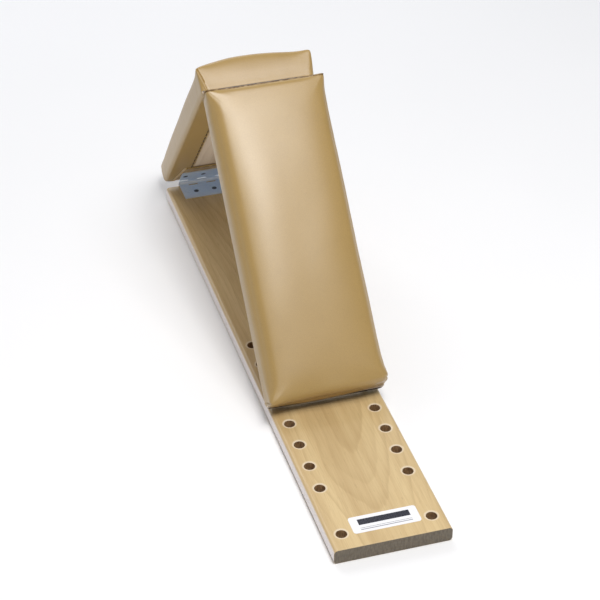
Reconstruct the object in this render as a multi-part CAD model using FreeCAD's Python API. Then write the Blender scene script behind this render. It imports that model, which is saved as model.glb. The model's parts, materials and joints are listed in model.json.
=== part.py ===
import FreeCAD, Part
import math
import os

# Adjustable slant board: a flat hardwood base with two rows of peg holes, and
# two padded panels hinged together above it as an A-frame.  Millimetres.
# Row frame: origin at the centre of the base board's underside, +X to the
# right, +Y towards the rear hinge, +Z up.

# ---------------------------------------------------------------- base board
BASE_W = 139.7            # nominal six inch board, planed
BASE_L = 762.0
BASE_T = 19.05
EDGE_R = 5.0              # round-over on the four long edges
END_R = 0.8               # eased edges round both ends
HOLE_R = 6.5
HOLE_EASE = 0.5
ROW_X = 53.2              # each row of peg holes, left and right of the centre
FIRST_HOLE_FROM_FRONT = 25.4
HOLE_PITCH = 40.0
PAIRS = [0, 2, 3, 4, 5, 6, 7, 8, 9]    # steps back from the front pair
REST_STEP = 6             # the pair that the pegs stand over

# --------------------------------------------------------------------- label
LABEL = (80.0, 27.0, 0.3)
LABEL_R = 3.5
LABEL_FROM_FRONT = 34.0   # its centre

# -------------------------------------------------------------------- hinges
HINGE_L = 101.6           # a cut length of continuous hinge
LEAF_T = 1.2
LEAF_W = 35.0             # axis to the leaf's free edge
AXIS_H = 3.6              # axis above the face that a leaf is screwed to
KNUCKLE_R = 3.2
KNUCKLE_N = 8
KNUCKLE_GAP = 0.4
PIN_R = 1.35
BORE_R = 1.40
PIN_HEAD_R = 2.4
SCREW_PITCH = 25.4
SCREW_LINE = 20.5         # axis to the line of screws
SCREW_HEAD_R = 3.4
SCREW_R = 1.6
SCREW_L_BASE = 15.5
SCREW_L_PANEL = 12.5

# -------------------------------------------------------------------- panels
BACK_A = 357.0            # rear hinge axis to apex hinge axis
FRONT_B = 382.0           # apex hinge axis to the pegs
BACK_W = 144.0
FRONT_W = 148.0
END_CLEAR = 1.0           # each padded end stands back from a hinge axis
FOOT_PAST_PEG = 8.0       # the front panel's foot goes on past its pegs
PANEL_T = 12.7
VINYL_T = 1.0
PAD_EDGE = 36.5           # hinge axis plane to the pad's upper edge
PAD_CROWN = 46.0          # the same, at the middle of the crown
COVER_R = 4.0
SIDE_FLAP_X = 38.0        # the side flaps reach in to here
END_FLAP = 52.0           # length of the flap turned under at each end
STAPLE = (9.5, 1.2, 0.6)
STAPLE_PITCH = 13.0

# ---------------------------------------------------------------------- pegs
PEG_R = 4.0
PEG_TIP_N = 1.4           # centre of the round tip, above the axis plane
PEG_TOP_N = 14.0

V = FreeCAD.Vector
X = V(1, 0, 0)
Y = V(0, 1, 0)
Z = V(0, 0, 1)

H1 = V(0, BASE_L / 2, BASE_T + AXIS_H)                       # rear hinge axis
FRONT_PAIR_Y = -BASE_L / 2 + FIRST_HOLE_FROM_FRONT
REST_Y = FRONT_PAIR_Y + REST_STEP * HOLE_PITCH

# The triangle of the two panels over the rest pair of holes.
SPAN = H1.y - REST_Y
ALPHA = math.acos((BACK_A ** 2 + SPAN ** 2 - FRONT_B ** 2) / (2 * BACK_A * SPAN))
BETA = math.asin(BACK_A * math.sin(ALPHA) / FRONT_B)
H2 = V(0, H1.y - BACK_A * math.cos(ALPHA), H1.z + BACK_A * math.sin(ALPHA))


def box(x0, x1, y0, y1, z0, z1):
    return Part.makeBox(x1 - x0, y1 - y0, z1 - z0, V(x0, y0, z0))


def clean(shape):
    """One solid, or a compound of the separate solids."""
    s = shape.removeSplitter()
    return s.Solids[0] if len(s.Solids) == 1 else s


def in_back_panel(shape):
    """From the back panel lying flat, rear axis at the origin, to its place."""
    s = shape.copy()
    s.rotate(V(0, 0, 0), X, -math.degrees(ALPHA))
    s.translate(H1)
    return s


def in_front_panel(shape):
    """From the front panel lying flat, apex axis at the origin, to its place."""
    s = shape.copy()
    s.rotate(V(0, 0, 0), X, math.degrees(BETA))
    s.translate(H2)
    return s


# ---------------------------------------------------------------- small parts
def screw(x, y, n_face, length):
    """Countersunk wood screw, head upwards at z = -n_face, driven along +Z from
    below: its head lies in the face z = n_face and it points to +Z."""
    cone_h = 1.9
    head = Part.makeCone(SCREW_HEAD_R, SCREW_R, cone_h, V(x, y, n_face), Z)
    shank = Part.makeCylinder(SCREW_R, length - cone_h - 3.0, V(x, y, n_face + cone_h), Z)
    tip = Part.makeCone(SCREW_R, 0.2, 3.0, V(x, y, n_face + length - 3.0), Z)
    body = head.fuse([shank, tip])
    a = box(x - 1.8, x + 1.8, y - 0.45, y + 0.45, n_face - 0.1, n_face + 1.3)
    b = box(x - 0.45, x + 0.45, y - 1.8, y + 1.8, n_face - 0.1, n_face + 1.3)
    full = clean(body)
    return clean(full.cut(a.fuse(b))), full


def leaf(side, parity, holes):
    """A hinge leaf screwed to a face at z = AXIS_H, with its axis on the X axis.
    It reaches towards side * Y.  parity picks its knuckles, counted along +X."""
    pitch = HINGE_L / KNUCKLE_N
    n0, n1 = AXIS_H - LEAF_T, AXIS_H
    y_in = 4.2
    plate = box(-HINGE_L / 2, HINGE_L / 2, y_in, LEAF_W, n0, n1)
    corners = [e for e in plate.Edges
               if abs(e.Vertexes[0].Y - LEAF_W) < 1e-6 and abs(e.Vertexes[1].Y - LEAF_W) < 1e-6
               and abs(e.Vertexes[0].X - e.Vertexes[1].X) < 1e-6]
    plate = plate.makeFillet(1.2, corners)
    parts = []
    for k in range(KNUCKLE_N):
        if (k if side > 0 else KNUCKLE_N - 1 - k) % 2 != parity:
            continue
        x0 = -HINGE_L / 2 + k * pitch + (KNUCKLE_GAP / 2 if k else 0)
        x1 = -HINGE_L / 2 + (k + 1) * pitch - (KNUCKLE_GAP / 2 if k < KNUCKLE_N - 1 else 0)
        barrel = Part.makeCylinder(KNUCKLE_R, x1 - x0, V(x0, 0, 0), X)
        curl = [V(x0, 0, KNUCKLE_R), V(x0, 3.0, n1), V(x0, y_in + 0.5, n1),
                V(x0, y_in + 0.5, n0), V(x0, 0.8, n0), V(x0, 0, KNUCKLE_R)]
        web = Part.Face(Part.makePolygon(curl)).extrude(V(x1 - x0, 0, 0))
        parts += [barrel, web]
    s = plate.fuse(parts)
    s = s.cut(Part.makeCylinder(BORE_R, HINGE_L + 2, V(-HINGE_L / 2 - 1, 0, 0), X))
    s = clean(s)
    if side < 0:
        s.rotate(V(0, 0, 0), Z, 180)
    cuts = [screw(hx, side * SCREW_LINE, n0, 10.0)[1] for hx in holes]
    return clean(s.cut(Part.makeCompound(cuts)))


def hinge_pin(axis_point):
    half = HINGE_L / 2 + 0.2
    rod = Part.makeCylinder(PIN_R, 2 * half, V(-half, 0, 0), X)
    heads = [Part.makeCylinder(PIN_HEAD_R, 0.9, V(half, 0, 0), X),
             Part.makeCylinder(PIN_HEAD_R, 0.9, V(-half - 0.9, 0, 0), X)]
    s = clean(rod.fuse(heads))
    rims = [e for e in s.Edges if isinstance(e.Curve, Part.Circle)
            and abs(e.Curve.Radius - PIN_HEAD_R) < 1e-6
            and abs(abs(e.Curve.Center.x) - half - 0.9) < 1e-6]
    s = s.makeFillet(0.5, rims)
    s.translate(axis_point)
    return s


def padded_block(half_w, y_far, y_near, n_low, n_edge, n_crown, r):
    """A block with a crowned top: its profile across X, run along Y."""
    pts = [V(-half_w, y_far, n_low), V(half_w, y_far, n_low), V(half_w, y_far, n_edge)]
    arc = Part.Arc(V(half_w, y_far, n_edge), V(0, y_far, n_crown), V(-half_w, y_far, n_edge)).toShape()
    edges = [Part.LineSegment(pts[0], pts[1]).toShape(), Part.LineSegment(pts[1], pts[2]).toShape(),
             arc, Part.LineSegment(V(-half_w, y_far, n_edge), pts[0]).toShape()]
    s = Part.Face(Part.Wire(edges)).extrude(V(0, y_near - y_far, 0))
    s = Part.Solid(Part.Shell(s.Faces)) if not s.Solids else s.Solids[0]
    return s.makeFillet(r, s.Edges)


def staple_row(points, along_y):
    out = []
    ln, w, t = STAPLE
    for x, y in points:
        dx, dy = (w / 2, ln / 2) if along_y else (ln / 2, w / 2)
        bar = box(x - dx, x + dx, y - dy, y + dy, AXIS_H - t, AXIS_H)
        ends = [e for e in bar.Edges if e.Length < STAPLE[1] + 1e-6 and
                all(abs(v.Z - (AXIS_H - t)) < 1e-6 for v in e.Vertexes)]
        out.append(bar.makeFillet(0.3, ends))
    return out


def spread(a, b, pitch):
    n = int(round((b - a) / pitch))
    return [a + (b - a) * i / n for i in range(n + 1)]


def panel(width, length_start, length_end):
    """Board, foam and cover of one panel lying flat, running from
    y = -length_start back to y = -length_end, hinge axis plane at z = 0."""
    hw = width / 2
    y0, y1 = -length_end, -length_start
    outer = padded_block(hw, y0, y1, AXIS_H, PAD_EDGE, PAD_CROWN, COVER_R)
    t = VINYL_T
    inner = padded_block(hw - t, y0 + t, y1 - t, AXIS_H + t, PAD_EDGE - t, PAD_CROWN - t, COVER_R - t)
    top = AXIS_H + t + PANEL_T
    big = box(-200, 200, y0 - 50, y1 + 50, top, 200)
    foam = clean(inner.common(big))
    board = clean(inner.cut(big))
    window = box(-SIDE_FLAP_X, SIDE_FLAP_X, y0 + END_FLAP, y1 - END_FLAP, AXIS_H - 1, AXIS_H + t)
    cover = clean(outer.cut(inner).cut(window))
    sx = SIDE_FLAP_X + 3.0
    side = [(s * sx, y) for s in (-1, 1) for y in spread(y0 + END_FLAP + 8, y1 - END_FLAP - 8, STAPLE_PITCH)]
    end = [(x, y) for y in (y0 + END_FLAP - 3.5, y1 - END_FLAP + 3.5) for x in spread(-32.5, 32.5, STAPLE_PITCH)]
    staples = staple_row(side, True) + staple_row(end, False)
    return board, foam, cover, staples


# ----------------------------------------------------------------- base board
base = box(-BASE_W / 2, BASE_W / 2, -BASE_L / 2, BASE_L / 2, 0, BASE_T)
long_edges = [e for e in base.Edges if abs(e.Length - BASE_L) < 1e-6]
base = base.makeFillet(EDGE_R, long_edges)
end_edges = [e for e in base.Edges
             if all(abs(abs(v.Y) - BASE_L / 2) < 1e-6 for v in e.Vertexes) and
             (e.Vertexes[0].Y * e.Vertexes[-1].Y > 0) and e.BoundBox.YLength < 1e-6]
base = base.makeFillet(END_R, end_edges)
drills = []
for step in PAIRS:
    y = FRONT_PAIR_Y + step * HOLE_PITCH
    for x in (-ROW_X, ROW_X):
        drills.append(Part.makeCylinder(HOLE_R, BASE_T + 2, V(x, y, -1), Z))
        drills.append(Part.makeCone(HOLE_R, HOLE_R + HOLE_EASE, HOLE_EASE, V(x, y, BASE_T - HOLE_EASE), Z))
        drills.append(Part.makeCone(HOLE_R + HOLE_EASE, HOLE_R, HOLE_EASE, V(x, y, 0), Z))
base = base.cut(Part.makeCompound(drills))

# Screw places.  A continuous hinge has its holes staggered between leaves.
HOLES_LOW = [-1.25 * SCREW_PITCH + i * SCREW_PITCH for i in range(4)]
HOLES_HIGH = [-1.75 * SCREW_PITCH + i * SCREW_PITCH for i in range(4)]

# ----------------------------------------------------------------- rear hinge
# The base leaf lies on the base board: made on a face above, then turned over.
def turned_over(s):
    c = s.copy()
    c.rotate(V(0, 0, 0), X, 180)
    c.translate(H1)
    return c


rear_base_leaf = turned_over(leaf(+1, 0, HOLES_LOW))
pairs = [screw(hx, SCREW_LINE, AXIS_H - LEAF_T, SCREW_L_BASE) for hx in HOLES_LOW]
rear_base_screws = [turned_over(p[0]) for p in pairs]
base = clean(base.cut(Part.makeCompound([turned_over(p[1]) for p in pairs])))
rear_pin = hinge_pin(H1)

# ----------------------------------------------------------------- back panel
board, foam, cover, staples = panel(BACK_W, END_CLEAR, BACK_A - END_CLEAR)
rear_leaf = leaf(-1, 1, HOLES_HIGH)
rear_screws = [screw(hx, -SCREW_LINE, AXIS_H - LEAF_T, SCREW_L_PANEL) for hx in HOLES_HIGH]
apex_leaf = leaf(+1, 0, HOLES_HIGH)
apex_leaf.translate(V(0, -BACK_A, 0))
apex_screws = [screw(hx, -BACK_A + SCREW_LINE, AXIS_H - LEAF_T, SCREW_L_PANEL) for hx in HOLES_HIGH]
driven = Part.makeCompound([p[1] for p in rear_screws + apex_screws])
back = {
    "back_panel_board": clean(board.cut(driven)),
    "back_foam_pad": foam,
    "back_vinyl_cover": clean(cover.cut(driven)),
    "back_cover_staples": Part.makeCompound(staples),
    "rear_hinge_panel_leaf": rear_leaf,
    "rear_hinge_panel_screws": Part.makeCompound([p[0] for p in rear_screws]),
    "apex_hinge_back_leaf": apex_leaf,
    "apex_hinge_back_screws": Part.makeCompound([p[0] for p in apex_screws]),
}

# ---------------------------------------------------------------- front panel
board, foam, cover, staples = panel(FRONT_W, END_CLEAR, FRONT_B + FOOT_PAST_PEG)
front_leaf = leaf(-1, 1, HOLES_LOW)
front_screws = [screw(hx, -SCREW_LINE, AXIS_H - LEAF_T, SCREW_L_PANEL) for hx in HOLES_LOW]


def peg(x):
    shaft = Part.makeCylinder(PEG_R, PEG_TOP_N - PEG_TIP_N, V(x, -FRONT_B, PEG_TIP_N), Z)
    tip = Part.makeSphere(PEG_R, V(x, -FRONT_B, PEG_TIP_N))
    return clean(shaft.fuse(tip))


left_peg, right_peg = peg(-ROW_X), peg(ROW_X)
driven = Part.makeCompound([p[1] for p in front_screws] + [left_peg, right_peg])
front = {
    "front_panel_board": clean(board.cut(driven)),
    "front_foam_pad": foam,
    "front_vinyl_cover": clean(cover.cut(driven)),
    "front_cover_staples": Part.makeCompound(staples),
    "apex_hinge_front_leaf": front_leaf,
    "apex_hinge_front_screws": Part.makeCompound([p[0] for p in front_screws]),
    "left_peg": left_peg,
    "right_peg": right_peg,
}
apex_pin = hinge_pin(H2)

# ---------------------------------------------------------------------- label
lw, ll, lt = LABEL
label = box(-lw / 2, lw / 2, -ll / 2, ll / 2, 0, lt)
label = label.makeFillet(LABEL_R, [e for e in label.Edges if abs(e.Length - lt) < 1e-6])
label.translate(V(0.5, -BASE_L / 2 + LABEL_FROM_FRONT, BASE_T))

nodes = {
    "base_board": base,
    "label_plate": label,
    "rear_hinge_base_leaf": rear_base_leaf,
    "rear_hinge_base_screws": Part.makeCompound(rear_base_screws),
    "rear_hinge_pin": rear_pin,
    "apex_hinge_pin": apex_pin,
}
nodes.update({k: in_back_panel(s) for k, s in back.items()})
nodes.update({k: in_front_panel(s) for k, s in front.items()})

os.makedirs("parts", exist_ok=True)
for name in sorted(nodes):
    s = nodes[name]
    if not s.isValid() or not s.Solids:
        raise RuntimeError("bad shape: " + name)
    s.exportStep("parts/" + name + ".step")
    b = s.BoundBox
    print("%-26s solids %3d  vol %10.1f  x %7.1f %7.1f  y %7.1f %7.1f  z %6.1f %6.1f" % (
        name, len(s.Solids), s.Volume, b.XMin, b.XMax, b.YMin, b.YMax, b.ZMin, b.ZMax))
print("alpha %.3f beta %.3f apex y %.2f z %.2f" % (math.degrees(ALPHA), math.degrees(BETA), H2.y, H2.z))
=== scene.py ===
import json
import math

import bmesh
import bpy
import numpy as np
from mathutils import Matrix, Vector, noise


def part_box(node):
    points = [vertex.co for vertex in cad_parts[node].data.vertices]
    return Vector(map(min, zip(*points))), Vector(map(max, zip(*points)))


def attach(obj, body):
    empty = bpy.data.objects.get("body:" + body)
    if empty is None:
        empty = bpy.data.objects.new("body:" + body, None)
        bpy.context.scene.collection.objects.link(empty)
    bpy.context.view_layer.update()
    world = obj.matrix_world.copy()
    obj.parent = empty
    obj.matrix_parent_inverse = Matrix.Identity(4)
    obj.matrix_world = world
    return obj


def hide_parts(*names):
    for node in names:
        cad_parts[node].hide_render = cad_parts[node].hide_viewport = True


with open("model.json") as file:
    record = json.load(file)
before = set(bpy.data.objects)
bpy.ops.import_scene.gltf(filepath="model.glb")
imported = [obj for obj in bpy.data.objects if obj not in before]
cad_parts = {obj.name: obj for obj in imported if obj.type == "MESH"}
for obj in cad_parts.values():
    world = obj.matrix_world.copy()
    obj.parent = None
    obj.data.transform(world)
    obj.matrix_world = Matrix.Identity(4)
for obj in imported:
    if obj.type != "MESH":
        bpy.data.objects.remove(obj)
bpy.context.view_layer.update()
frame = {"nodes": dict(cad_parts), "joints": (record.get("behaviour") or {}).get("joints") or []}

# ------------------------------------------------------------------ frame facts
joints = {j["name"]: j for j in frame["joints"]}
H1 = np.array(joints["rear_hinge_fold"]["pos_m"], float)
H2 = np.array(joints["apex_hinge_fold"]["pos_m"], float)
BACK_A = float(np.linalg.norm(H2 - H1))
FRONT_B = 0.382
ALPHA = math.atan2(H2[2] - H1[2], H1[1] - H2[1])
BETA = math.asin(BACK_A * math.sin(ALPHA) / FRONT_B)
XV = np.array([1.0, 0, 0])
BACK_U = np.array([0, -math.cos(ALPHA), math.sin(ALPHA)])
BACK_N = np.array([0, math.sin(ALPHA), math.cos(ALPHA)])
FRONT_U = np.array([0, -math.cos(BETA), -math.sin(BETA)])
FRONT_N = np.array([0, -math.sin(BETA), math.cos(BETA)])
BASE_LO, BASE_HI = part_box("base_board")
AXIS_H = H1[2] - BASE_HI.z            # 3.6 mm, hinge axis to the face under a leaf
MM = 0.001

scene = bpy.context.scene
scene.view_settings.view_transform = "Standard"


def smooth(e0, e1, x):
    t = np.clip((np.asarray(x, float) - e0) / (e1 - e0), 0, 1)
    return t * t * (3 - 2 * t)


# ------------------------------------------------------------------ node helpers
class Mat:
    """A small helper for building a procedural material."""

    def __init__(self, name):
        self.m = bpy.data.materials.new(name)
        self.m.use_nodes = True
        self.t = self.m.node_tree
        self.n = self.t.nodes
        self.bsdf = self.n["Principled BSDF"]
        self.coord = self.n.new("ShaderNodeTexCoord").outputs["Object"]

    def link(self, a, b):
        self.t.links.new(a, b)

    def node(self, kind, **kw):
        nd = self.n.new(kind)
        for k, v in kw.items():
            if k.startswith("in_"):
                key = k[3:]
                key = int(key) if key.isdigit() else key.replace("_", " ")
                nd.inputs[key].default_value = v
            else:
                setattr(nd, k, v)
        return nd

    def mapping(self, vec, scale=(1, 1, 1), loc=(0, 0, 0), rot=(0, 0, 0)):
        nd = self.n.new("ShaderNodeMapping")
        nd.inputs["Scale"].default_value = scale
        nd.inputs["Location"].default_value = loc
        nd.inputs["Rotation"].default_value = rot
        self.link(vec, nd.inputs["Vector"])
        return nd.outputs["Vector"]

    def noise(self, vec, scale, detail=3.0, rough=0.5, distortion=0.0, w=None):
        nd = self.n.new("ShaderNodeTexNoise")
        nd.inputs["Scale"].default_value = scale
        nd.inputs["Detail"].default_value = detail
        nd.inputs["Roughness"].default_value = rough
        nd.inputs["Distortion"].default_value = distortion
        self.link(vec, nd.inputs["Vector"])
        return nd.outputs["Fac"], nd.outputs["Color"]

    def voronoi(self, vec, scale, feature="F1", rnd=1.0):
        nd = self.n.new("ShaderNodeTexVoronoi")
        nd.feature = feature
        nd.inputs["Scale"].default_value = scale
        nd.inputs["Randomness"].default_value = rnd
        self.link(vec, nd.inputs["Vector"])
        return nd

    def math(self, op, a, b=None, c=None, clamp=False):
        nd = self.n.new("ShaderNodeMath")
        nd.operation = op
        nd.use_clamp = clamp
        for i, v in enumerate((a, b, c)):
            if v is None:
                continue
            if isinstance(v, (int, float)):
                nd.inputs[i].default_value = v
            else:
                self.link(v, nd.inputs[i])
        return nd.outputs[0]

    def ramp(self, fac, stops, interp="LINEAR"):
        nd = self.n.new("ShaderNodeValToRGB")
        cr = nd.color_ramp
        cr.interpolation = interp
        while len(cr.elements) > 1:
            cr.elements.remove(cr.elements[-1])
        cr.elements[0].position = stops[0][0]
        cr.elements[0].color = (*stops[0][1], 1) if len(stops[0][1]) == 3 else stops[0][1]
        for p, c in stops[1:]:
            e = cr.elements.new(p)
            e.color = (*c, 1) if len(c) == 3 else c
        self.link(fac, nd.inputs[0])
        return nd.outputs["Color"]

    def mix(self, fac, a, b, mode="MIX"):
        nd = self.n.new("ShaderNodeMix")
        nd.data_type = "RGBA"
        nd.blend_type = mode
        for key, v in ((0, fac), (6, a), (7, b)):
            if isinstance(v, (int, float)):
                nd.inputs[key].default_value = v
            elif isinstance(v, tuple):
                nd.inputs[key].default_value = (*v, 1)
            else:
                self.link(v, nd.inputs[key])
        return nd.outputs[2]

    def maprange(self, v, a0, a1, b0, b1):
        nd = self.n.new("ShaderNodeMapRange")
        nd.inputs["From Min"].default_value = a0
        nd.inputs["From Max"].default_value = a1
        nd.inputs["To Min"].default_value = b0
        nd.inputs["To Max"].default_value = b1
        self.link(v, nd.inputs["Value"])
        return nd.outputs["Result"]

    def bump(self, height, strength, distance, normal=None):
        nd = self.n.new("ShaderNodeBump")
        nd.inputs["Strength"].default_value = strength
        nd.inputs["Distance"].default_value = distance
        self.link(height, nd.inputs["Height"])
        if normal is not None:
            self.link(normal, nd.inputs["Normal"])
        return nd.outputs["Normal"]

    def sep(self, vec):
        nd = self.n.new("ShaderNodeSeparateXYZ")
        self.link(vec, nd.inputs[0])
        return nd.outputs

    def comb(self, x, y, z):
        nd = self.n.new("ShaderNodeCombineXYZ")
        for i, v in enumerate((x, y, z)):
            if isinstance(v, (int, float)):
                nd.inputs[i].default_value = v
            else:
                self.link(v, nd.inputs[i])
        return nd.outputs[0]

    def set(self, **kw):
        for k, v in kw.items():
            key = k.replace("_", " ")
            s = self.bsdf.inputs[key]
            if isinstance(v, (int, float)):
                s.default_value = v
            elif isinstance(v, tuple):
                s.default_value = (*v, 1) if len(v) == 3 and len(s.default_value) == 4 else v
            else:
                self.link(v, s)


def srgb(r, g, b):
    return tuple(((c / 255 + 0.055) / 1.055) ** 2.4 if c > 10 else c / 255 / 12.92 for c in (r, g, b))


# ------------------------------------------------------------------ materials
def wood_material(name, along, pith, light, mid, dark, contrast=1.0, gloss=0.36, coat=0.25, holes=False, rings=150.0):
    """Solid wood: growth rings about a pith axis that runs nearly along the board,
    so faces show cathedrals and the ends show arcs.  along is the unit vector of the
    grain; pith a point near the pith axis."""
    m = Mat(name)
    ax = Vector(along).normalized()
    side = Vector((1, 0, 0))
    up = ax.cross(side).normalized()
    # Coordinates in the board: s across, g along the grain, t through the thickness.
    rot = Matrix((side, ax, up))
    sep = m.sep(m.coord)

    def axis(v, off):
        a = m.math("MULTIPLY", sep[0], v.x)
        b = m.math("MULTIPLY_ADD", sep[1], v.y, a)
        c = m.math("MULTIPLY_ADD", sep[2], v.z, b)
        return m.math("SUBTRACT", c, off)

    p = Vector(pith)
    s = axis(side, side.dot(p))
    g = axis(ax, ax.dot(p))
    t = axis(up, up.dot(p))
    # Slow wander of the pith along the length, which makes the cathedrals.
    low = m.comb(m.math("MULTIPLY", s, 2.2), m.math("MULTIPLY", g, 1.5), m.math("MULTIPLY", t, 2.2))
    wander, wcol = m.noise(low, 1.6, 2.0, 0.45)
    wsep = m.sep(wcol)
    s2 = m.math("ADD", s, m.math("MULTIPLY", m.math("SUBTRACT", wsep[0], 0.5), 0.05))
    tilt = m.math("MULTIPLY", g, 0.045)
    t2 = m.math("ADD", m.math("ADD", t, tilt), m.math("MULTIPLY", m.math("SUBTRACT", wsep[1], 0.5), 0.055))
    r = m.math("SQRT", m.math("ADD", m.math("MULTIPLY", s2, s2), m.math("MULTIPLY", t2, t2)))
    fine = m.comb(m.math("MULTIPLY", s, 14.0), m.math("MULTIPLY", g, 2.0), m.math("MULTIPLY", t, 14.0))
    jit, _ = m.noise(fine, 4.0, 3.0, 0.55)
    ring = m.math("ADD", m.math("MULTIPLY", r, rings), m.math("MULTIPLY", jit, 0.9))
    frac = m.math("FRACT", ring)
    # Late wood: a soft rise then a quick fall.
    late = m.math("MULTIPLY", m.math("POWER", frac, 2.6), m.math("SUBTRACT", 1.0, m.math("POWER", frac, 16.0)))
    # Some rings are strong and some barely show.
    idx = m.math("FLOOR", ring)
    wn = m.n.new("ShaderNodeTexWhiteNoise")
    wn.noise_dimensions = "1D"
    m.link(idx, wn.inputs["W"])
    late = m.math("MULTIPLY", late, m.maprange(wn.outputs["Value"], 0, 1, 0.15, 1.0))
    # Long streaks of colour, and fibre.
    streak_v = m.comb(m.math("MULTIPLY", s, 120.0), m.math("MULTIPLY", g, 2.6), m.math("MULTIPLY", t, 120.0))
    streak, _ = m.noise(streak_v, 1.0, 4.0, 0.6)
    broad_v = m.comb(m.math("MULTIPLY", s, 22.0), m.math("MULTIPLY", g, 2.6), m.math("MULTIPLY", t, 22.0))
    broad, _ = m.noise(broad_v, 1.0, 2.0, 0.5)
    fibre_v = m.comb(m.math("MULTIPLY", s, 900.0), m.math("MULTIPLY", g, 26.0), m.math("MULTIPLY", t, 900.0))
    fibre, _ = m.noise(fibre_v, 1.0, 3.0, 0.6)
    pore_v = m.comb(m.math("MULTIPLY", s, 1500.0), m.math("MULTIPLY", g, 90.0), m.math("MULTIPLY", t, 1500.0))
    pore, _ = m.noise(pore_v, 1.0, 1.0, 0.5)
    col = m.ramp(m.maprange(streak, 0.28, 0.72, 0, 1), [(0.0, mid), (0.55, light), (1.0, light)])
    col = m.mix(m.math("MULTIPLY", m.maprange(broad, 0.42, 0.75, 0.0, 1.0), 0.35 * contrast, clamp=True), col, dark)
    col = m.mix(m.math("MULTIPLY", late, 0.42 * contrast, clamp=True), col, dark)
    col = m.mix(m.math("MULTIPLY", m.maprange(fibre, 0.45, 0.8, 0, 1), 0.30 * contrast, clamp=True), col, dark)
    poref = m.maprange(pore, 0.68, 0.78, 0, 1)
    col = m.mix(m.math("MULTIPLY", poref, 0.30, clamp=True), col, tuple(c * 0.55 for c in dark))
    # End grain drinks the finish and reads darker; its colour is made darker and greyer still with painted shade, the
    # shade on the end faces.
    geo = m.n.new("ShaderNodeNewGeometry")
    vt = m.n.new("ShaderNodeVectorTransform")
    vt.vector_type, vt.convert_from, vt.convert_to = "NORMAL", "WORLD", "OBJECT"
    m.link(geo.outputs["True Normal"], vt.inputs[0])
    dot = m.n.new("ShaderNodeVectorMath")
    dot.operation = "DOT_PRODUCT"
    m.link(vt.outputs[0], dot.inputs[0])
    dot.inputs[1].default_value = tuple(ax)
    endf = m.maprange(m.math("ABSOLUTE", dot.outputs["Value"]), 0.55, 0.92, 0, 1)
    ray_v = m.comb(m.math("MULTIPLY", s, 700.0), m.math("MULTIPLY", g, 700.0), m.math("MULTIPLY", t, 160.0))
    ray, _ = m.noise(ray_v, 1.0, 2.0, 0.5)
    end_grain_col_and_shade = m.mix(m.maprange(ray, 0.35, 0.7, 0, 1), (mid[0] * 0.27, mid[1] * 0.30, mid[2] * 0.40), (mid[0] * 0.15, mid[1] * 0.17, mid[2] * 0.23))
    end_grain_col_and_shade = m.mix(m.math("MULTIPLY", late, 0.7, clamp=True), end_grain_col_and_shade, tuple(c * 0.3 for c in dark))
    col = m.mix(endf, col, end_grain_col_and_shade)
    if holes:
        # The bore of each drilled hole is rough and unfinished, and looks dark.
        zn = m.math("ABSOLUTE", m.sep(vt.outputs[0])[2])
        inside = m.math("LESS_THAN", m.math("ABSOLUTE", sep[0]), BASE_HI.x - 0.0075)
        inside_y = m.math("LESS_THAN", m.math("ABSOLUTE", sep[1]), BASE_HI.y - 0.004)
        bore = m.math("MULTIPLY", m.math("MULTIPLY", m.maprange(zn, 0.25, 0.10, 0, 1), inside), inside_y)
        col = m.mix(bore, col, m.mix(m.maprange(ray, 0.3, 0.7, 0, 1), srgb(182, 146, 104), srgb(124, 94, 64)))
        rim = m.math("MULTIPLY", m.math("MULTIPLY", m.maprange(m.math("ABSOLUTE", m.math("SUBTRACT", zn, 0.7)), 0.2, 0.1, 0, 1), inside), inside_y)
        col = m.mix(m.math("MULTIPLY", rim, 0.8), col, srgb(240, 222, 190))
        # A paler ring round each hole.
        hx = m.math("SUBTRACT", m.math("ABSOLUTE", sep[0]), 0.0532)
        k = m.math("DIVIDE", m.math("SUBTRACT", sep[1], -0.3556), 0.04)
        kf = m.math("SUBTRACT", m.math("FRACT", m.math("ADD", k, 0.5)), 0.5)
        hy = m.math("MULTIPLY", kf, 0.04)
        hd = m.math("SQRT", m.math("ADD", m.math("MULTIPLY", hx, hx), m.math("MULTIPLY", hy, hy)))
        here = m.math("MULTIPLY", m.math("LESS_THAN", k, 9.5), m.math("GREATER_THAN", m.math("ABSOLUTE", m.math("SUBTRACT", k, 1.0)), 0.4))
        ring_w = m.math("MULTIPLY", m.maprange(hd, 0.0094, 0.0078, 0, 1), m.math("MULTIPLY", here, m.math("GREATER_THAN", zn, 0.5)))
        col = m.mix(m.math("MULTIPLY", ring_w, m.maprange(fibre, 0.3, 0.7, 0.35, 0.75), clamp=True), col, srgb(238, 224, 200))
        # The long sides are painted pale and cool: painted light, the bright sheen the sides take from the light at
        # the left.
        xn = m.math("ABSOLUTE", m.sep(vt.outputs[0])[0])
        flank_painted_light = m.math("MULTIPLY", m.maprange(xn, 0.75, 0.97, 0, 1), m.math("GREATER_THAN", m.math("ABSOLUTE", sep[0]), BASE_HI.x - 0.002))
        col = m.mix(m.math("MULTIPLY", flank_painted_light, 0.78), col, srgb(236, 230, 232))
    m.set(Base_Color=col, Roughness=m.maprange(m.mix(endf, streak, ray), 0.2, 0.8, gloss - 0.05, gloss + 0.12),
          Specular_IOR_Level=0.45, Coat_Weight=coat, Coat_Roughness=0.22)
    h = m.math("ADD", m.math("MULTIPLY", fibre, 0.6), m.math("MULTIPLY", m.math("SUBTRACT", 1.0, poref), 0.4))
    m.set(Normal=m.bump(h, 0.35, 0.00012))
    return m.m


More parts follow.
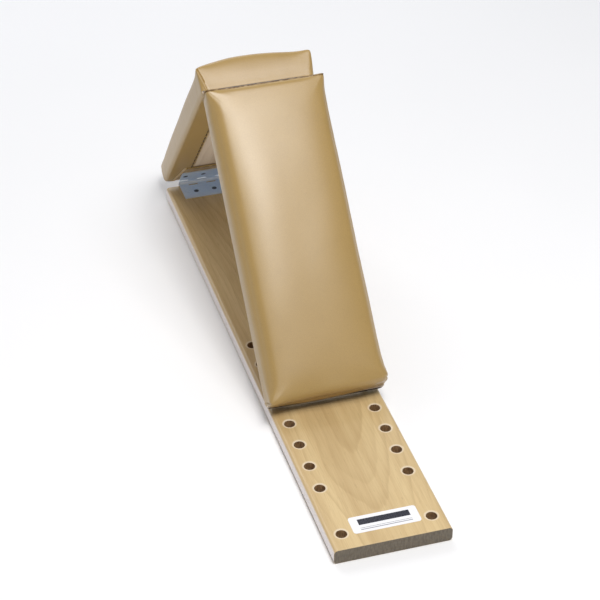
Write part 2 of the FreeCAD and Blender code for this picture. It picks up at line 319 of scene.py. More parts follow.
def vinyl_material(name, base, dark, light, foot=False):
    m = Mat(name)
    c = m.coord
    grain = m.voronoi(c, 1150.0, "DISTANCE_TO_EDGE")
    warp, wcol = m.noise(c, 420.0, 2.0, 0.5)
    pebble = m.maprange(grain.outputs["Distance"], 0.0, 0.28, 0, 1)
    cell = m.math("MULTIPLY", m.math("POWER", pebble, 0.6), m.maprange(warp, 0.2, 0.8, 0.6, 1.0))
    fine, _ = m.noise(c, 2600.0, 2.0, 0.55)
    mott, _ = m.noise(c, 7.0, 2.0, 0.4)
    mid_n, _ = m.noise(c, 46.0, 2.0, 0.4)
    col = m.mix(m.maprange(mott, 0.35, 0.68, 0, 1), base, tuple(x * 1.04 for x in base))
    col = m.mix(m.math("MULTIPLY", m.maprange(mid_n, 0.45, 0.75, 0, 1), 0.05, clamp=True), col, dark)
    col = m.mix(m.math("MULTIPLY", m.math("SUBTRACT", 1.0, pebble), 0.22, clamp=True), col, dark)
    # A little paler on the sharp edges and folds; the creases are darkened with painted shade.
    geo = m.n.new("ShaderNodeNewGeometry")
    edge = m.maprange(geo.outputs["Pointiness"], 0.53, 0.62, 0, 1)
    crease_painted_shade = m.maprange(geo.outputs["Pointiness"], 0.47, 0.38, 0, 1)
    col = m.mix(m.math("MULTIPLY", edge, 0.45, clamp=True), col, light)
    col = m.mix(m.math("MULTIPLY", crease_painted_shade, 0.6, clamp=True), col, dark)
    rough = m.math("ADD", m.maprange(mott, 0.3, 0.7, 0.36, 0.39), m.math("MULTIPLY", m.math("SUBTRACT", 1.0, pebble), 0.06))
    if foot:
        # The foot's lower edge is darkened with painted shade, the shadow under the foot where it meets the base;
        # there it is also made rougher, metallic and without coat, so it reflects little.
        sp = m.sep(c)

        def along(v, off):
            a = m.math("MULTIPLY", sep_off(sp[1], float(H2[1])), float(v[1]))
            return m.math("SUBTRACT", m.math("MULTIPLY_ADD", sep_off(sp[2], float(H2[2])), float(v[2]), a), off)

        def sep_off(v, k):
            return m.math("SUBTRACT", v, k)

        wob, _ = m.noise(c, 38.0, 2.0, 0.5)
        gn = m.math("ADD", along(FRONT_N, 0.0), m.maprange(wob, 0.3, 0.7, -0.0025, 0.0025))
        gu = along(FRONT_U, FRONT_B)
        across = m.maprange(m.math("ABSOLUTE", sp[0]), 0.0735, 0.0705, 0, 1)
        painted_shade = m.math("MULTIPLY", across, m.math("MULTIPLY", m.maprange(gn, 0.0185, 0.0115, 0, 1), m.maprange(gu, -0.006, -0.001, 0, 1)))
        col = m.mix(m.math("MULTIPLY", painted_shade, 0.95, clamp=True), col, srgb(42, 28, 28))
        # A thin dark line of painted shade runs along the upper end's edge: the crease shadow where the front pad
        # meets the back pad's end.
        gt = m.math("ADD", along(FRONT_U, 0.0), m.maprange(wob, 0.3, 0.7, -0.0006, 0.0006))
        painted_crease_shade = m.math("MULTIPLY", m.maprange(gt, 0.0050, 0.0036, 0, 1), m.maprange(gt, 0.0012, 0.0022, 0, 1))
        dash, _ = m.noise(c, 190.0, 2.0, 0.5)
        painted_crease_shade = m.math("MULTIPLY", painted_crease_shade, m.maprange(dash, 0.36, 0.58, 0.25, 0.85))
        col = m.mix(painted_crease_shade, col, srgb(92, 60, 26))
        # The painted crease shadow is handled like the painted shade at the foot.
        painted_shade = m.math("MAXIMUM", painted_shade, m.math("MULTIPLY", painted_crease_shade, 0.8))
        rough = m.math("ADD", rough, m.math("MULTIPLY", painted_shade, 0.5))
        # Painted shade: metallic, rougher and without coat, so the dark band shows little reflection.
        m.set(Metallic=m.math("MULTIPLY", painted_shade, 0.9))
    m.set(Base_Color=col, Roughness=rough, Specular_IOR_Level=0.7, Sheen_Weight=0.0, Sheen_Roughness=0.45,
          Coat_Weight=m.math("MULTIPLY", m.math("SUBTRACT", 1.0, painted_shade), 0.28) if foot else 0.28, Coat_Roughness=0.29)
    n1 = m.bump(cell, 0.35, 0.00010)
    n2 = m.bump(fine, 0.15, 0.00004, n1)
    m.set(Normal=n2)
    return m.m


def metal_material(name, color, rough, patch=0.25, brush=(1, 1, 1), tint=None, metallic=1.0):
    m = Mat(name)
    c = m.coord
    v = m.mapping(c, scale=brush)
    lines, _ = m.noise(v, 900.0, 3.0, 0.6)
    blot, _ = m.noise(c, 120.0, 4.0, 0.6)
    spang = m.voronoi(c, 260.0)
    col = m.mix(m.maprange(blot, 0.35, 0.7, 0, 1), color, tint or tuple(x * 0.82 for x in color))
    col = m.mix(m.math("MULTIPLY", m.sep(spang.outputs["Color"])[0], 0.16), col, tuple(min(1, x * 1.2) for x in color))
    geo = m.n.new("ShaderNodeNewGeometry")
    edge = m.maprange(geo.outputs["Pointiness"], 0.52, 0.6, 0, 1)
    col = m.mix(m.math("MULTIPLY", edge, 0.35, clamp=True), col, tuple(min(1, x * 1.35) for x in color))
    rr = m.math("ADD", m.maprange(lines, 0.25, 0.75, rough - 0.06, rough + 0.1), m.math("MULTIPLY", blot, patch * 0.2))
    m.set(Base_Color=col, Metallic=metallic, Roughness=rr)
    m.set(Normal=m.bump(lines, 0.25, 0.00004))
    return m.m


def label_material():
    """White film with a plain dark bar and a thin line: no lettering."""
    m = Mat("label_print")
    lo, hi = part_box("label_plate")
    cx, cy = (lo.x + hi.x) / 2, (lo.y + hi.y) / 2
    sp = m.sep(m.coord)
    x = m.math("SUBTRACT", sp[0], cx)
    y = m.math("SUBTRACT", sp[1], cy)

    def band(v, c, half):
        return m.math("LESS_THAN", m.math("ABSOLUTE", m.math("SUBTRACT", v, c)), half)

    bar = m.math("MULTIPLY", band(x, 0.0, 0.0305), band(y, 0.0035, 0.0047))
    line = m.math("MULTIPLY", band(x, 0.0, 0.0305), band(y, -0.0062, 0.00035))
    line2 = m.math("MULTIPLY", band(x, 0.0, 0.0305), band(y, -0.0088, 0.0006))
    fleck, _ = m.noise(m.coord, 700.0, 3.0, 0.6)
    white = m.mix(m.maprange(fleck, 0.3, 0.7, 0, 1), srgb(247, 247, 248), srgb(238, 238, 241))
    ink = m.mix(m.maprange(fleck, 0.3, 0.7, 0, 1), srgb(26, 27, 38), srgb(38, 40, 54))
    col = m.mix(bar, white, ink)
    col = m.mix(m.math("MULTIPLY", m.math("ADD", line, line2, clamp=True), 0.75), col, srgb(70, 72, 90))
    m.set(Base_Color=col, Roughness=m.maprange(fleck, 0.2, 0.8, 0.22, 0.32), Coat_Weight=0.4, Coat_Roughness=0.12)
    m.set(Normal=m.bump(fleck, 0.1, 0.00003))
    return m.m


MAPLE = wood_material("maple_board", (0.012, 1, 0.004), (0.012, -0.30, -0.062),
                      srgb(216, 190, 140), srgb(205, 176, 126), srgb(166, 134, 86), 1.2, 0.36, 0.35, holes=True, rings=210.0)
BACK_WOOD = wood_material("back_board_wood", tuple(BACK_U), tuple(H1 + BACK_N * 0.12 + XV * 0.05),
                          srgb(222, 206, 184), srgb(210, 190, 164), srgb(176, 148, 118), 0.7, 0.6, 0.0)
FRONT_WOOD = wood_material("front_board_wood", tuple(FRONT_U), tuple(H2 + FRONT_N * 0.12 + XV * 0.03),
                           srgb(222, 206, 184), srgb(210, 190, 164), srgb(176, 148, 118), 0.7, 0.6, 0.0)
VINYL = vinyl_material("tan_vinyl", srgb(172, 141, 81), srgb(104, 80, 44), srgb(208, 184, 130))
# The same vinyl with painted shade at the front pad's foot and a painted crease shadow along its upper end.
FOOT_VINYL_PAINTED_SHADE = vinyl_material("tan_vinyl_foot_painted_shade", srgb(172, 141, 81), srgb(104, 80, 44), srgb(208, 184, 130), foot=True)
ZINC = metal_material("zinc_plate", (0.74, 0.86, 1.0), 0.30, brush=(0.06, 1, 1), tint=(0.66, 0.78, 0.97), metallic=0.6)
PIN = metal_material("hinge_pin_steel", (0.86, 0.87, 0.94), 0.28, metallic=0.55)
SCREW = metal_material("screw_zinc", (0.16, 0.17, 0.20), 0.40, metallic=0.8)
STAPLE = metal_material("staple_wire", (0.035, 0.028, 0.022), 0.5, metallic=0.3)
PEG = metal_material("peg_steel", (0.58, 0.6, 0.64), 0.3)
LABEL = label_material()


def dress(node, material, smooth_angle=None):
    o = frame["nodes"][node]
    o.data.materials.clear()
    o.data.materials.append(material)


dress("base_board", MAPLE)
dress("label_plate", LABEL)
for nm in ("rear_hinge_base_leaf", "rear_hinge_panel_leaf", "apex_hinge_back_leaf", "apex_hinge_front_leaf"):
    dress(nm, ZINC)
for nm in ("rear_hinge_pin", "apex_hinge_pin"):
    dress(nm, PIN)
for nm in ("rear_hinge_base_screws", "rear_hinge_panel_screws", "apex_hinge_back_screws", "apex_hinge_front_screws"):
    dress(nm, SCREW)
dress("back_panel_board", BACK_WOOD)
dress("front_panel_board", FRONT_WOOD)
for nm in ("back_cover_staples", "front_cover_staples"):
    dress(nm, STAPLE)
for nm in ("left_peg", "right_peg"):
    dress(nm, PEG)
for nm in ("back_foam_pad", "back_vinyl_cover", "front_foam_pad", "front_vinyl_cover"):
    dress(nm, VINYL)


# ------------------------------------------------------------------ padded panels
def spaced(a, b, n, ease=0.5):
    """n + 1 stations from a to b, closer together near both ends."""
    t = np.linspace(-1, 1, n + 1)
    t = t * (1 - ease) + np.sin(t * math.pi / 2) * ease
    return (a + b) / 2 + t * (b - a) / 2


def lerp(a, b, t):
    return a + (b - a) * t


class Pad:
    """The cover of one panel in its own (x, u, n) millimetres: x across, u along from
    the hinge axis, n out of the padded face.  A grid on top, rings down the sides,
    round the lower edge and in along the turned-under flaps."""

    LOW = 3.6            # the underside
    BOARD_TOP = 17.3     # foam above this, board below
    FLAP_X = 38.0        # the side flaps reach in to here
    FLAP_U = 52.0        # length of the flap turned under at each end
    MITRE = [(5.0, 5.0), (8.0, 5.4), (11.0, 6.0), (22.0, 54.0)]   # inset of the corner fold, across and along

    def __init__(self, name, half_w, u0, u1, seed, **opt):
        self.name, self.hw, self.u0, self.u1, self.seed, self.opt = name, half_w, u0, u1, seed, opt
        self.edge = opt["edge"]
        self.build()

    def build(self):
        hw, u0, u1 = self.hw, self.u0, self.u1
        nx, nu = 32, int(round((u1 - u0) / 4.9))
        xs, us = spaced(-hw, hw, nx), spaced(u0, u1, nu, 0.35)
        verts, faces = [], []
        idx = np.zeros((nx + 1, nu + 1), int)
        for i in range(nx + 1):
            for j in range(nu + 1):
                idx[i, j] = len(verts)
                verts.append((xs[i], us[j], self.edge))
        for i in range(nx):
            for j in range(nu):
                faces.append((idx[i, j], idx[i + 1, j], idx[i + 1, j + 1], idx[i, j + 1]))
        per = [(i, 0) for i in range(nx)] + [(nx, j) for j in range(nu)] + \
              [(i, nu) for i in range(nx, 0, -1)] + [(0, j) for j in range(nu, 0, -1)]
        prev = [idx[i, j] for i, j in per]
        uc, hl = (u0 + u1) / 2, (u1 - u0) / 2
        top = self.edge
        levels = [(0, 0, n) for n in np.linspace(top - 2.0, 20.0, 8)] + [(0, 0, n) for n in (17.2, 14.2, 11.4, 8.9)]
        r = 5.0
        levels += [(r - r * math.cos(a), r - r * math.cos(a), self.LOW + r - r * math.sin(a)) for a in np.radians([25, 50, 72, 90])]
        m = self.MITRE
        levels += [(dx, du, self.LOW) for dx, du in m[1:3]]
        levels += [(lerp(m[2][0], m[3][0], k / 17), lerp(m[2][1], m[3][1], k / 17), self.LOW) for k in range(1, 18)]
        last = (hw - self.FLAP_X, self.FLAP_U)
        levels += [(lerp(m[3][0], last[0], k / 5), lerp(m[3][1], last[1], k / 5), self.LOW) for k in range(1, 6)]
        for dx, du, n in levels:
            ring = []
            rp = lerp(5.0, 2.5, float(smooth(14.0, 26.0, n))) if dx < 5.1 else max(0.0, 5.0 - (dx - 5) * 1.5)
            hx, hy = hw - dx, hl - du
            for i, j in per:
                x, v = xs[i] * hx / hw, (us[j] - uc) * hy / hl
                ax_, av = abs(x) - (hx - rp), abs(v) - (hy - rp)
                if rp > 0 and ax_ > 0 and av > 0:
                    # A rounded corner in plan.
                    ln = math.hypot(ax_, av)
                    x = math.copysign(hx - rp + ax_ * rp / ln, x)
                    v = math.copysign(hy - rp + av * rp / ln, v)
                ring.append(len(verts))
                verts.append((x, uc + v, n))
            P = len(per)
            for k in range(P):
                a, b = prev[k], prev[(k + 1) % P]
                faces.append((a, ring[k], ring[(k + 1) % P], b))
            prev = ring
        self.V = np.array(verts, float)
        self.F = faces
        self.rest = self.V.copy()
        self.V = self.shape(self.V)

    # -- smooth shape ------------------------------------------------------
    def near_corner(self, p, reach, which=None):
        """1 at the corners of the plan, 0 beyond reach; which picks one of
        'll', 'rl', 'lh', 'rh': left or right, low or high u."""
        dx = np.clip(self.hw - np.abs(p[:, 0]), 0, None)
        du = np.clip(np.minimum(p[:, 1] - self.u0, self.u1 - p[:, 1]), 0, None)
        w = np.exp(-((dx / reach) ** 2 + (du / reach) ** 2))
        if which:
            w = w * ((p[:, 0] < 0) if which[0] == "l" else (p[:, 0] >= 0))
            w = w * ((p[:, 1] < (self.u0 + self.u1) / 2) if which[1] == "l" else (p[:, 1] >= (self.u0 + self.u1) / 2))
        return w

    def shape(self, p):
        hw, u0, u1, o = self.hw, self.u0, self.u1, self.opt
        uc, hl = (u0 + u1) / 2, (u1 - u0) / 2
        ear = self.near_corner(p, o.get("ear", 15.0))
        # Round the upper edge: widely along the sides, tightly at the corners.
        rl, rr = o.get("round", (9.0, 9.0))
        side = smooth(-0.5, 0.5, p[:, 0] / hw)
        r = lerp(rl, rr, side)
        to_end = np.minimum(p[:, 1] - u0, u1 - p[:, 1])
        r = lerp(r, o.get("round_u", rr), smooth(-8.0, 8.0, hw - np.abs(p[:, 0]) - to_end))
        r = lerp(r, o.get("round_ear", 3.5), ear)
        for key, blunt in o.get("blunt", {}).items():
            r = lerp(r, blunt, self.near_corner(p, 16.0, key))
        lo = np.stack([-hw + r, u0 + r, np.full(len(p), -99.0)], 1)
        hi = np.stack([hw - r, u1 - r, self.edge - r], 1)
        inner = np.clip(p, lo, hi)
        d = p - inner
        ln = np.linalg.norm(d, axis=1)
        w = (ln > 1e-9) & (p[:, 2] > hi[:, 2] - 1e-6)
        q = np.where(w[:, None], inner + d / np.maximum(ln, 1e-9)[:, None] * r[:, None], p)
        h = smooth(self.BOARD_TOP - 3, self.edge - 2, p[:, 2])      # 0 on the board, 1 on top
        sx = np.sign(p[:, 0])
        ax_ = np.clip(np.abs(p[:, 0]) / hw, 0, 1)
        v = np.clip((p[:, 1] - uc) / hl, -1, 1)
        au = np.abs(v)
        # The upper edge's height: full in mid length, lower at the corners.
        mid = o["edge_mid"] - self.edge
        end_l, end_h = o["edge_ends"]
        rise = mid * (1 - au ** o.get("edge_pow", 3.0))
        rise = rise + np.where(v < 0, end_l[0] * (p[:, 0] < 0) + end_l[1] * (p[:, 0] >= 0),
                               end_h[0] * (p[:, 0] < 0) + end_h[1] * (p[:, 0] >= 0)) * au ** 5 * ax_ ** 3
        # The crown across the width.
        pw = np.where(p[:, 0] < 0, o.get("crown_pow", (2.3, 2.3))[0], o.get("crown_pow", (2.3, 2.3))[1])
        crown = lerp(o["crown_mid"] - o["edge_mid"], o["crown_end"] - self.edge, au ** o.get("crown_run", 3.0)) * (1 - ax_ ** pw)
        # The face rolls over toward each end.
        sh_l, sh_h = o.get("shoulder", (0.0, 0.0))
        run = np.clip(1 - np.minimum(p[:, 1] - u0, u1 - p[:, 1]) / 38.0, 0, 1) ** 2
        crown = crown - np.where(v < 0, sh_l, sh_h) * run * (1 - ax_ ** 4)
        q[:, 2] += (rise + crown) * h
        # The foam pulls in between the corners and stands out at them.
        q[:, 0] -= sx * o.get("pull_x", 2.0) * (1 - au ** 6) * h * smooth(0.55, 1.0, ax_)
        q[:, 1] -= np.sign(v) * o.get("pull_u", 1.0) * (1 - ax_ ** 4) * h * smooth(0.90, 1.0, au)
        # The end face leans back toward the crown.
        q[:, 1] -= np.sign(v) * np.where(v < 0, 0.0, o.get("lean", 0.0)) * smooth(18.0, 46.0, p[:, 2] + (rise + crown) * h) * smooth(0.90, 1.0, au) * (1 - ax_ ** 6)
        # It is drawn in where it is tucked over the board's end.
        z = p[:, 2] + (rise + crown) * h
        q[:, 1] -= np.sign(v) * np.where(v < 0, 0.0, o.get("tuck", 0.0)) * (1 - smooth(15.0, 34.0, z)) * smooth(0.93, 1.0, au) * (1 - ax_ ** 10)
        # Each end face swells a little at half its height.
        bulge = np.clip(1 - ((p[:, 2] - 29.0) / 15.0) ** 2, 0, 1) * smooth(0.965, 1.0, au) * (1 - ax_ ** 6)
        b_l, b_h = o.get("bulge", (0.6, 0.6))
        q[:, 1] += np.sign(v) * np.where(v < 0, b_l, b_h) * bulge
        up = smooth(8, self.edge, p[:, 2])
        for key, (ex, eu, en) in o.get("ears", {}).items():
            c = self.near_corner(p, o.get("ear_reach", {}).get(key, 20.0), key)
            q[:, 0] += sx * ex * c * up
            q[:, 1] += np.sign(v) * eu * c * up
            q[:, 2] += en * c * up
        t = np.clip((p[:, 1] - u0) / (u1 - u0), 0, 1)
        left = o.get("left", (0.0, 0.0))
        q[:, 0] -= lerp(left[0], left[1], t) * (p[:, 0] < 0) * smooth(0.3, 1.0, ax_) * h
        # The panel sits a hair out of square on its hinge.
        q[:, 0] += lerp(o["skew"][0], o["skew"][1], np.clip((p[:, 1] - u0) / (u1 - u0), 0, 1)) * smooth(2.0, 20.0, p[:, 2])
        return q

    # -- cloth ---------------------------------------------------------------
    def simulate(self, frames=16, cap=1.6, pressure=0.35):
        """The vinyl stretched over its foam: blown out a little and held by the board.
        The foam under it gives the pad its general shape, so the cloth's own overall
        swelling is taken away again and its local pulls and folds are kept."""
        me = bpy.data.meshes.new("sim")
        me.from_pydata([tuple(v * MM * 10) for v in self.V], [], self.F)
        me.update()
        ob = bpy.data.objects.new("sim", me)
        scene.collection.objects.link(ob)
        vg = ob.vertex_groups.new(name="pin")
        rest_n = self.rest[:, 2]
        w = 1 - smooth(self.BOARD_TOP - 1, self.BOARD_TOP + 4, rest_n)
        w = np.clip(w + 0.9 * self.near_corner(self.rest, 7.0), 0, 1)
        for i, x in enumerate(w):
            vg.add([i], float(x), "REPLACE")
        mod = ob.modifiers.new("Cloth", "CLOTH")
        st = mod.settings
        st.quality = 5
        st.mass = 0.3
        st.tension_stiffness = 40
        st.compression_stiffness = 30
        st.shear_stiffness = 12
        st.bending_stiffness = 3
        st.tension_damping = 25
        st.compression_damping = 25
        st.shear_damping = 25
        st.bending_damping = 5
        st.air_damping = 6
        st.vertex_group_mass = "pin"
        st.pin_stiffness = 4
        st.use_pressure = True
        st.uniform_pressure_force = pressure
        st.effector_weights.gravity = 0
        mod.collision_settings.use_collision = False
        mod.collision_settings.use_self_collision = False
        mod.point_cache.frame_start, mod.point_cache.frame_end = 1, frames + 1
        for f in range(1, frames + 1):
            scene.frame_set(f)
        dg = bpy.context.evaluated_depsgraph_get()
        ev = ob.evaluated_get(dg)
        tmp = ev.to_mesh()
        co = np.zeros(len(tmp.vertices) * 3)
        tmp.vertices.foreach_get("co", co)
        ev.to_mesh_clear()
        co = co.reshape(-1, 3) / (MM * 10)
        bpy.data.objects.remove(ob)
        bpy.data.meshes.remove(me)
        scene.frame_set(1)
        d = co - self.V
        free = w < 0.55
        r = self.rest
        a = np.clip(r[:, 0] / self.hw, -1, 1)
        b = np.clip((2 * r[:, 1] - self.u0 - self.u1) / (self.u1 - self.u0), -1, 1)
        c = np.clip((r[:, 2] - self.BOARD_TOP) / (self.edge - self.BOARD_TOP), 0, 1)
        basis = np.stack([np.cos(i * np.arccos(a)) * np.cos(j * np.arccos(b)) * c ** k
                          for i in range(7) for j in range(7) for k in range(4)], 1)
        fit = np.linalg.lstsq(basis[free], d[free], rcond=1e-6)[0]
        d = np.where(free[:, None], d - basis @ fit, 0.0)
        # Even out the short ripples and keep the pulls beside the corners.
        ea = np.array([(f[i], f[(i + 1) % 4]) for f in self.F for i in range(4)])
        cnt = np.bincount(ea.ravel(), minlength=len(d))[:, None]
        for _ in range(10):
            acc = np.zeros_like(d)
            np.add.at(acc, ea[:, 0], d[ea[:, 1]])
            np.add.at(acc, ea[:, 1], d[ea[:, 0]])
            d = 0.4 * d + 0.6 * acc / np.maximum(cnt, 1)
        d *= (0.08 + 0.92 * self.near_corner(self.rest, 34.0))[:, None]
        ln = np.linalg.norm(d, axis=1)
        lim = cap * np.tanh(ln / cap)
        self.V = self.V + d * (lim / np.maximum(ln, 1e-9))[:, None] * (1 - smooth(0.2, 0.55, w))[:, None]
        self.moved = (float(ln.max()), float(lim.max()))

    # -- final mesh ------------------------------------------------------------
    def finish(self, origin, U, N, detail):
        me = bpy.data.meshes.new(self.name)
        me.from_pydata([tuple(v) for v in self.V], [], self.F)
        at = me.attributes.new("rest_pos", "FLOAT_VECTOR", "POINT")
        at.data.foreach_set("vector", self.rest.astype(np.float32).ravel())
        me.update()
        ob = bpy.data.objects.new(self.name, me)
        scene.collection.objects.link(ob)
        sub = ob.modifiers.new("sub", "SUBSURF")
        sub.levels = sub.render_levels = 2
        sub.boundary_smooth = "PRESERVE_CORNERS"
        dg = bpy.context.evaluated_depsgraph_get()
        tmp = bpy.data.meshes.new_from_object(ob.evaluated_get(dg), depsgraph=dg)
        n = len(tmp.vertices)
        co, rp, nr = np.zeros(n * 3), np.zeros(n * 3, np.float32), np.zeros(n * 3)
        tmp.vertices.foreach_get("co", co)
        tmp.attributes["rest_pos"].data.foreach_get("vector", rp)
        tmp.vertices.foreach_get("normal", nr)
        co, rp, nr = co.reshape(-1, 3), rp.reshape(-1, 3).astype(float), nr.reshape(-1, 3)
        co = detail(self, co, rp, nr)
        world = origin + (co[:, :1] * XV + co[:, 1:2] * U + co[:, 2:3] * N) * MM
        tmp.vertices.foreach_set("co", world.ravel())
        tmp.attributes.remove(tmp.attributes["rest_pos"])
        tmp.update()
        bm = bmesh.new()
        bm.from_mesh(tmp)
        bmesh.ops.recalc_face_normals(bm, faces=bm.faces)
        bm.to_mesh(tmp)
        bm.free()
        ob.modifiers.clear()
        ob.data = tmp
        sol = ob.modifiers.new("skin", "SOLIDIFY")
        sol.thickness = 0.0009
        sol.offset = -1
        tmp.materials.append(VINYL)
        for p in tmp.polygons:
            p.use_smooth = True
        return ob


def pad_detail(pad, co, rp, nr):
    """Tension lines at the corners, the pleat down each corner and the flaps below."""
    o = pad.opt
    hw, u0, u1, low = pad.hw, pad.u0, pad.u1, pad.LOW
    x, u, n = rp[:, 0], rp[:, 1], rp[:, 2]
    dx = hw - np.abs(x)
    d0, d1 = u - u0, u1 - u
    du = np.minimum(d0, d1)
    q = co.copy()
    rng = pad.seed
    sx = np.sign(x)
    se = np.where(d0 < d1, -1.0, 1.0)
    cid = (sx > 0) * 1 + (se > 0) * 2
    # Small wrinkles that fan out of each upper corner over the padded face.
    on_top = smooth(pad.edge - 1.0, pad.edge, n)
    ang = np.arctan2(np.clip(du, 0.01, None), np.clip(dx, 0.01, None))
    rad = np.hypot(dx, du)
    amp = np.exp(-((rad - 14) / 16.0) ** 2) * np.sin(ang) ** 0.6 * np.cos(ang) ** 0.6
    wr = np.zeros(len(q))
    for c in range(4):
        ph = rng * 1.7 + c * 2.1
        wr += (cid == c) * (np.sin(ang * (9 + c) + ph) + 0.5 * np.sin(ang * (17 - c) + 2 * ph))
    q += nr * (wr * amp * o.get("wrinkle", 0.22) * on_top)[:, None]
    # Slow unevenness of hand-pulled vinyl.
    slow = np.array([noise.noise(Vector((a / 52.0 + rng * 7, b / 75.0, c / 40.0))) for a, b, c in co])
    free = smooth(10, 24, n)
    q += nr * (slow * o.get("slow", 0.5) * free)[:, None]
    # Pull marks along the sides, where it was stapled underneath.
    sidef = smooth(7, 13, n) * (1 - smooth(26, 34, n))
    t = np.where(dx < du, u, x + 500)
    pull = np.array([noise.noise(Vector((a / 11.0, rng * 3.3, 5.0))) + 0.6 * noise.noise(Vector((a / 5.5, rng * 1.3, 9.0))) for a in t])
    q += nr * (pull * np.where(dx < du, 0.16, 0.04) * sidef)[:, None]
    # The pleat beside each corner: a folded lip of vinyl and the gap behind it, on the
    # end face, or on the side face where the cover was folded the other way round.
    hgt = np.clip((n - low) / (pad.edge - low), 0, 1)
    band = smooth(low + 1.5, low + 5, n) * (1 - smooth(pad.edge - 2.0, pad.edge + 0.5, n))
    line = lerp(9.0, 0.8, hgt)
    for c, key in enumerate(("ll", "rl", "lh", "rh")):
        on_end = key in o.get("pleat_on_end", ("ll", "lh"))
        near, along = (du, dx) if on_end else (dx, du)
        f = along - line
        face = smooth(4.5, 1.5, near) * (cid == c) * band
        lip = np.exp(-(np.clip(f + 1.6, None, 0) / 1.2) ** 2) * np.where(f < 0, 1.0, 0.0) * smooth(-4.5, -1.4, f) * 1.0
        groove = -np.exp(-((f - 0.6) / 0.7) ** 2) * lerp(0.4, 2.1, smooth(16.5, 20.0, n))
        amount = (lip + groove) * face * o.get("pleat", {}).get(key, 1.0)
        if on_end:
            q[:, 1] += se * amount
        else:
            q[:, 0] += sx * amount
    # Turned-under flaps.  The end flap lies over the side flap, with a rolled edge
    # along the mitre and a dark gap beside it.
    under = n < low + 0.4
    mx = np.interp(du, [m[1] for m in pad.MITRE], [m[0] for m in pad.MITRE])
    f = dx - mx                       # > 0 on the end flap
    near = smooth(4.0, 7.0, du) * smooth(56.5, 53.5, du) * smooth(3.5, 6.0, dx)
    leaf = (np.abs(x) < 51.4) & (du < 36.0)
    roll = -np.exp(-((f - 2.3) / 1.5) ** 2) * 1.25 * np.where(leaf, 0.0, 1.0)
    gap = np.exp(-((f - 0.2) / 0.62) ** 2) * 1.3
    q[:, 2] += np.where(under, (roll + gap) * near, 0.0)
    # Its inner edge is turned in too, and lifts a little between staples.
    inner = smooth(46.0, 50.5, du) * smooth(54.6, 52.5, du) * (np.abs(x) < hw - 22)
    q[:, 2] += np.where(under, -inner * 0.5, 0.0)
    # Small puckers between staples at the inner edges of the side flaps.
    wave = 0.5 + 0.5 * np.cos((u - u0) / 13.0 * 2 * math.pi)
    side_in = smooth(pad.FLAP_X + 8, pad.FLAP_X + 1.0, np.abs(x)) * (du > 53)
    q[:, 2] += np.where(under, -wave * side_in * 0.45, 0.0)
    q[:, 0] += np.where(under & (du > 53), sx * wave * smooth(pad.FLAP_X + 4, pad.FLAP_X, np.abs(x)) * 0.8, 0.0)
    if "extra" in o:
        q = o["extra"](pad, q, rp, nr)
    return q


def front_extra(pad, q, rp, nr):
    """The foot of the front pad is a little wavy, with one corner drawn up."""
    x, u, n = rp[:, 0], rp[:, 1], rp[:, 2]
    d1 = pad.u1 - u
    near = np.exp(-(d1 / 18.0) ** 2) * smooth(4.5, 16, n)
    q[:, 1] -= near * smooth(30, 76, x) ** 1.5 * 7.0 * smooth(6, 28, n)
    q[:, 1] -= near * 3.2 * (1 - np.clip(np.abs(x + 6) / 60, 0, 1) ** 2) * smooth(15, 24, n)
    q[:, 2] += near * 0.8 * np.sin(x / 13.0 + 0.6)
    q[:, 1] += near * 0.9 * np.sin(x / 21.0 + 2.2) * (1 - smooth(40, 70, x))
    return q


pads = {
    "back": Pad("back_cushion", 72.0, 1.0, BACK_A / MM - 1.0, 1, edge=35.5, edge_mid=38.5, crown_mid=46.5, crown_end=48.4,
                edge_ends=((-5.5, -5.5), (2.8, 6.4)), crown_pow=(2.9, 1.9), pull_x=1.2, pull_u=0.8, round=(8.5, 8.5), left=(-1.0, 1.9),
                bulge=(0.5, 0.9), lean=1.8, tuck=0.75,
                skew=(-0.4, -0.1), ears={"rh": (2.2, 0.0, 0.0)}, pleat_on_end=("ll", "lh")),
    "front": Pad("front_cushion", 74.0, 1.0, FRONT_B / MM + 8.0, 2, edge=37.0, edge_mid=38.5, crown_mid=48.0, crown_end=42.5, crown_run=2.0,
                 shoulder=(1.5, 1.5), edge_ends=((1.0, 1.0), (0.0, 0.5)), crown_pow=(3.0, 3.8), pull_x=1.4, pull_u=0.6, round=(14.0, 11.5), round_u=8.0, bulge=(0.0, 0.5), blunt={"rh": 9.0},
                 skew=(-1.3, 0.8), ears={"ll": (1.2, 0.0, 0.8), "rl": (0.4, 0.0, 0.8), "lh": (0.8, 0.0, 0.0), "rh": (2.6, 0.0, 0.0)},
                 ear_reach={"rh": 26.0, "ll": 13.0, "rl": 13.0}, pleat_on_end=(), pleat={"rh": 0.3, "lh": 0.6}, extra=front_extra),
}
for pad in pads.values():
    pad.simulate()
    print("cloth", pad.name, pad.moved)

back_cushion = pads["back"].finish(H1, BACK_U, BACK_N, pad_detail)
front_cushion = pads["front"].finish(H2, FRONT_U, FRONT_N, pad_detail)
# The front pad takes the vinyl with painted shade at its foot and a painted crease shadow at its upper end.
front_cushion.data.materials.clear()
front_cushion.data.materials.append(FOOT_VINYL_PAINTED_SHADE)
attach(back_cushion, "back_panel")
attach(front_cushion, "front_panel")
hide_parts("back_vinyl_cover", "back_foam_pad")
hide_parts("front_vinyl_cover", "front_foam_pad")


# ------------------------------------------------------------------ stage, light, camera
def plane(name, size, z):
    me = bpy.data.meshes.new(name)
    s = size / 2
    me.from_pydata([(-s, -s, z), (s, -s, z), (s, s, z), (-s, s, z)], [], [(0, 1, 2, 3)])
    ob = bpy.data.objects.new(name, me)
    scene.collection.objects.link(ob)
    return ob


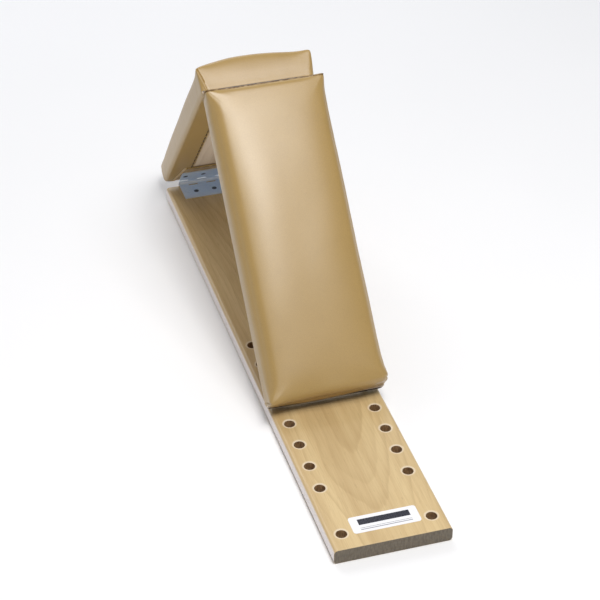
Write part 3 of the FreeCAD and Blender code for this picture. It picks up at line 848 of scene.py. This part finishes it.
floor = plane("floor", 40.0, -0.0002)
fm = Mat("floor_paper")
fn, _ = fm.noise(fm.coord, 3.0, 2.0, 0.5)
fm.set(Base_Color=fm.mix(fn, (0.90, 0.90, 0.90), (0.93, 0.93, 0.93)), Roughness=0.9, Specular_IOR_Level=0.1)
floor.data.materials.append(fm.m)

world = bpy.data.worlds.new("studio")
scene.world = world
world.use_nodes = True
bg = world.node_tree.nodes["Background"]
bg.inputs[0].default_value = (0.93, 0.95, 1.0, 1)
bg.inputs[1].default_value = 0.32


def area(name, loc, target, size, power, color=(1, 1, 1), size_y=None):
    li = bpy.data.lights.new(name, "AREA")
    li.energy = power
    li.color = color
    li.shape = "RECTANGLE"
    li.size = size
    li.size_y = size_y or size
    ob = bpy.data.objects.new(name, li)
    scene.collection.objects.link(ob)
    ob.location = loc
    d = Vector(target) - Vector(loc)
    ob.rotation_mode = "QUATERNION"
    ob.rotation_quaternion = d.to_track_quat("-Z", "Y")
    return ob


area("key", (0.03, -1.04, 2.09), (0, 0, 0.12), 0.5, 18.5, (1.0, 0.985, 0.97), 0.5)
area("soft_top", (0.20, -0.82, 2.32), (0, 0, 0.12), 1.1, 23, (1.0, 0.99, 0.985), 1.1)
area("over_back", (-0.5, 2.8, 2.4), (-0.3, 1.9, 0), 2.2, 36, (0.98, 0.98, 1.0), 2.2)
area("back_card", (0.62, 2.6, 1.35), (0.1, 0.38, 0.05), 1.4, 8, (0.86, 0.92, 1.0), 1.3)
area("rim_left", (-1.1, 2.4, 0.55), (0, 0.1, 0.12), 0.9, 3, (0.88, 0.88, 1.0), 0.9)
area("left_white", (-2.4, 0.0, 0.8), (0, 0.15, 0.05), 1.6, 3, (0.9, 0.9, 1.0), 2.6)

cam_data = bpy.data.cameras.new("camera")
cam = bpy.data.objects.new("camera", cam_data)
scene.collection.objects.link(cam)
cam_data.sensor_width = 36.0
cam_data.lens = 125.6396
cam_data.clip_start, cam_data.clip_end = 0.05, 60
cam.rotation_mode = "QUATERNION"
cam.location = (-0.609674, -1.987567, 1.601203)
cam.rotation_quaternion = (0.88220799, 0.44714604, -0.06957674, -0.13010981)
scene.camera = cam
